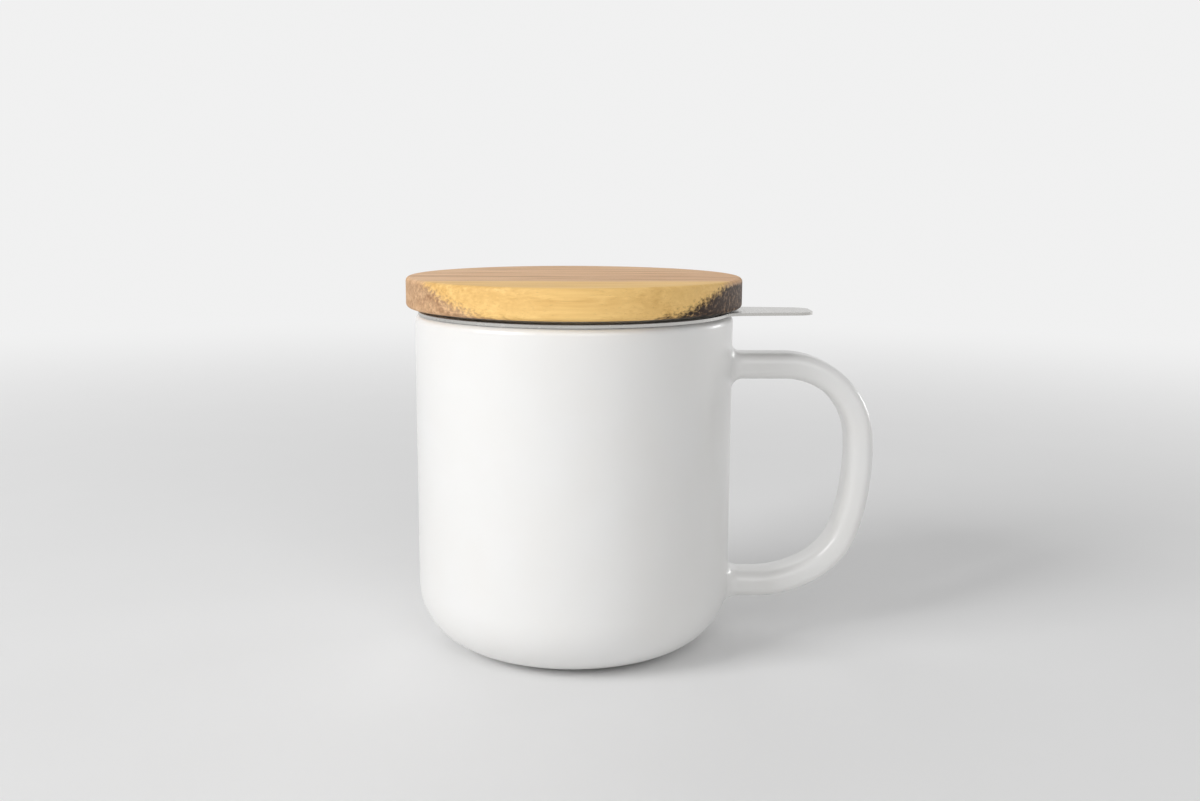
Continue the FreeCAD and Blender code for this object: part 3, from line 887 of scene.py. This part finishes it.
@dataclass
class Lid:
    """The turned board with its plug, and the silicone ring round the plug."""

    under: float = 92.9
    radius: float = 45.0
    thickness: float = 8.0
    edge: float = 1.1
    plug_radius: float = 33.4
    plug_depth: float = 6.6
    plug_edge: float = 0.8
    bead_drop: float = 2.4
    bead_height: float = 1.8
    bead_depth: float = 1.6
    seat_height: float = 1.1
    seat_radius: float = 39.2
    sleeve: float = 1.0
    sleeve_height: float = 5.4
    fin_reach: float = 35.3
    fin_height: float = 0.7
    fin_bridge: float = 1.2
    fins: int = 2
    seat_flat: float = 0.1
    face_ring: float = 20.0
    plug_steps: int = 6
    edge_steps: int = 8
    seat_steps: int = 5
    board_turns: int = 256
    seal_turns: int = 192

    def build_board(self) -> bpy.types.Object:
        """Turns the board and returns it."""
        low, top = self.under - self.plug_depth, self.under + self.thickness
        bead_top = self.under - self.bead_drop
        bead_low = bead_top - self.bead_height
        bore = self.plug_radius - self.bead_depth
        outline = [(0.0, low), (self.face_ring, low)]
        plug_middle = (self.plug_radius - self.plug_edge, low + self.plug_edge)
        outline += arc(plug_middle, self.plug_edge, -90.0, 0.0, self.plug_steps)
        outline += [(self.plug_radius, bead_low), (bore, bead_low), (bore, bead_top)]
        outline += [(self.plug_radius, bead_top), (self.plug_radius, self.under)]
        centre_x = self.radius - self.edge
        outline += arc((centre_x, self.under + self.edge), self.edge, -90.0, 0.0, self.edge_steps)
        outline += arc((centre_x, top - self.edge), self.edge, 0.0, 90.0, self.edge_steps)
        outline += [(self.face_ring, top), (0.0, top)]
        return lathe("turned_lid_board", outline, self.board_turns)

    def build_seal(self) -> bpy.types.Object:
        """Turns the silicone ring and returns it."""
        low = self.under - self.sleeve_height
        bead_top = self.under - self.bead_drop
        bead_low = bead_top - self.bead_height
        sleeve, bore = self.plug_radius + self.sleeve, self.plug_radius - self.bead_depth
        seat_low = self.under - self.seat_height
        outline = [(self.plug_radius, self.under), (self.plug_radius, bead_top), (bore, bead_top)]
        outline += [(bore, bead_low), (self.plug_radius, bead_low), (self.plug_radius, low), (sleeve, low)]
        for fin in range(self.fins):
            foot = low + (self.fin_height + self.fin_bridge) * fin + self.fin_height / 2
            outline += [(sleeve, foot), (self.fin_reach, foot + self.fin_height / 2)]
            outline += [(self.fin_reach, foot + self.fin_height), (sleeve, foot + self.fin_height)]
        bend = (self.seat_height - self.seat_flat) / 2
        outline += [(sleeve, seat_low)]
        outline += arc((self.seat_radius - bend, seat_low + bend), bend, -90.0, 0.0, self.seat_steps)
        outline += arc((self.seat_radius - bend, self.under - bend), bend, 0.0, 90.0, self.seat_steps)
        return lathe("moulded_lid_seal", outline, self.seal_turns)


@dataclass
class Camera:
    """The camera at the photograph's place, and the same angle of view."""

    place: Place = (0.0, -351.0, 124.3)
    pitch: float = 9.30
    yaw: float = 1.15
    roll: float = 0.26
    lens: float = 39.0
    sensor: float = 36.0
    nearest: float = 10.0

    def build(self) -> None:
        """Adds the camera and makes it the scene's own."""
        data = bpy.data.cameras.new("photo_camera")
        data.lens = self.lens
        data.sensor_width = self.sensor
        data.clip_start = self.nearest * MM
        camera = bpy.data.objects.new("photo_camera", data)
        bpy.context.scene.collection.objects.link(camera)
        camera.location = Vector(self.place) * MM
        pitch, yaw, roll = (math.radians(turn) for turn in (self.pitch, self.yaw, self.roll))
        level_part = math.cos(pitch)
        forward = Vector((math.sin(yaw) * level_part, math.cos(yaw) * level_part, -math.sin(pitch)))
        camera.rotation_mode = "QUATERNION"
        level = forward.to_track_quat("-Z", "Y")
        camera.rotation_quaternion = level @ Euler((0.0, 0.0, roll)).to_quaternion()
        bpy.context.scene.camera = camera


@dataclass(frozen=True)
class Lamp:
    """One soft square lamp that looks at the mug's middle. Its lengths are metres."""

    name: str
    place: Place
    side: float
    watts: float
    target: Place = (0.0, 0.0, 0.05)

    def build(self) -> None:
        """Adds the lamp."""
        data = bpy.data.lights.new(self.name, "AREA")
        data.shape = "SQUARE"
        data.size = self.side
        data.energy = self.watts
        lamp = bpy.data.objects.new(self.name, data)
        bpy.context.scene.collection.objects.link(lamp)
        lamp.location = self.place
        aim = Vector(self.target) - Vector(self.place)
        lamp.rotation_mode = "QUATERNION"
        lamp.rotation_quaternion = aim.to_track_quat("-Z", "Y")


@dataclass
class Studio:
    """The pale floor, the backdrop that rises from it, the lamps and the world, in metres."""

    half_width: float = 4.0
    front: float = -2.5
    back: float = 2.6
    rise: float = 2.4
    bend: float = 0.9
    bend_steps: int = 24
    sky: Colour = (1.0, 1.0, 1.0, 1.0)
    fill: float = 0.36
    shown: float = 0.90
    lamps: list[Lamp] = field(default_factory=lambda: [
        Lamp("window_lamp", (-0.92, -0.62, 0.62), 0.55, 9.0),
        Lamp("front_lamp", (0.25, -1.2, 0.7), 0.9, 3.6),
        Lamp("back_lamp", (-0.3, 0.9, 0.9), 0.9, 2.0),
        Lamp("right_lamp", (0.95, 0.58, 0.22), 0.26, 1.6),
    ])

    def build_sweep(self) -> bpy.types.Object:
        """Bends the paper from the floor up into the backdrop and returns it."""
        shape = bmesh.new()
        line = [(self.front, 0.0)]
        line += arc((self.back - self.bend, self.bend), self.bend, -90.0, 0.0, self.bend_steps)
        line.append((self.back, self.rise))
        rows = [[shape.verts.new((side, y, z)) for side in (-self.half_width, self.half_width)]
                for y, z in line]
        for near, far in zip(rows, rows[1:]):
            shape.faces.new((near[0], near[1], far[1], far[0]))
        mesh = bpy.data.meshes.new("paper_sweep")
        shape.to_mesh(mesh)
        shape.free()
        return add_object("paper_sweep", mesh)

    def build_world(self) -> None:
        """Lights the scene evenly and shows a pale backdrop to the camera and in reflections."""
        world = bpy.data.worlds.new("studio_world")
        world.use_nodes = True
        bpy.context.scene.world = world
        graph = Graph(world.node_tree)
        light = world.node_tree.nodes["Background"]
        light.inputs["Color"].default_value = self.sky
        strength = graph.math("MULTIPLY_ADD", seen_rays(graph), self.shown - self.fill, self.fill)
        graph.feed(light, "Strength", strength)

    def build(self) -> None:
        """Builds the whole studio."""
        sweep = self.build_sweep()
        dress(sweep, StudioFinish().build())
        for lamp in self.lamps:
            lamp.build()
        self.build_world()
        bpy.context.scene.view_settings.view_transform = "Standard"


def main() -> None:
    """Builds and dresses every piece, then the camera and the studio."""
    logging.basicConfig(level=logging.INFO, format="%(name)s: %(message)s")
    effects = Effects(streaks_group(), unevenness_group())
    glaze = GlazeFinish().build(effects)
    steel = SteelFinish().build(effects)
    silicone = SiliconeFinish().build(effects)
    lid = Lid()
    wood = WoodFinish(top=lid.under + lid.thickness).build(effects)
    Camera().build()
    cup = Cup()
    for piece, node in ((cup.build(), "mug_body"), (Handle(cup).build(), "mug_handle")):
        dress(piece, glaze)
        settle(piece, BodyName.MUG, Slot.GLAZE, node)
    for node in ("infuser_brim", "infuser_wall", "infuser_floor"):
        dress(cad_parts[node], steel)
        log.info("%s is kept, in steel", node)
    board, seal = lid.build_board(), lid.build_seal()
    dress(board, wood)
    settle(board, BodyName.LID, Slot.WOOD, "lid_board")
    dress(seal, silicone)
    settle(seal, BodyName.LID, Slot.SILICONE, "lid_seal")
    Studio().build()


if __name__ == "__main__":
    main()
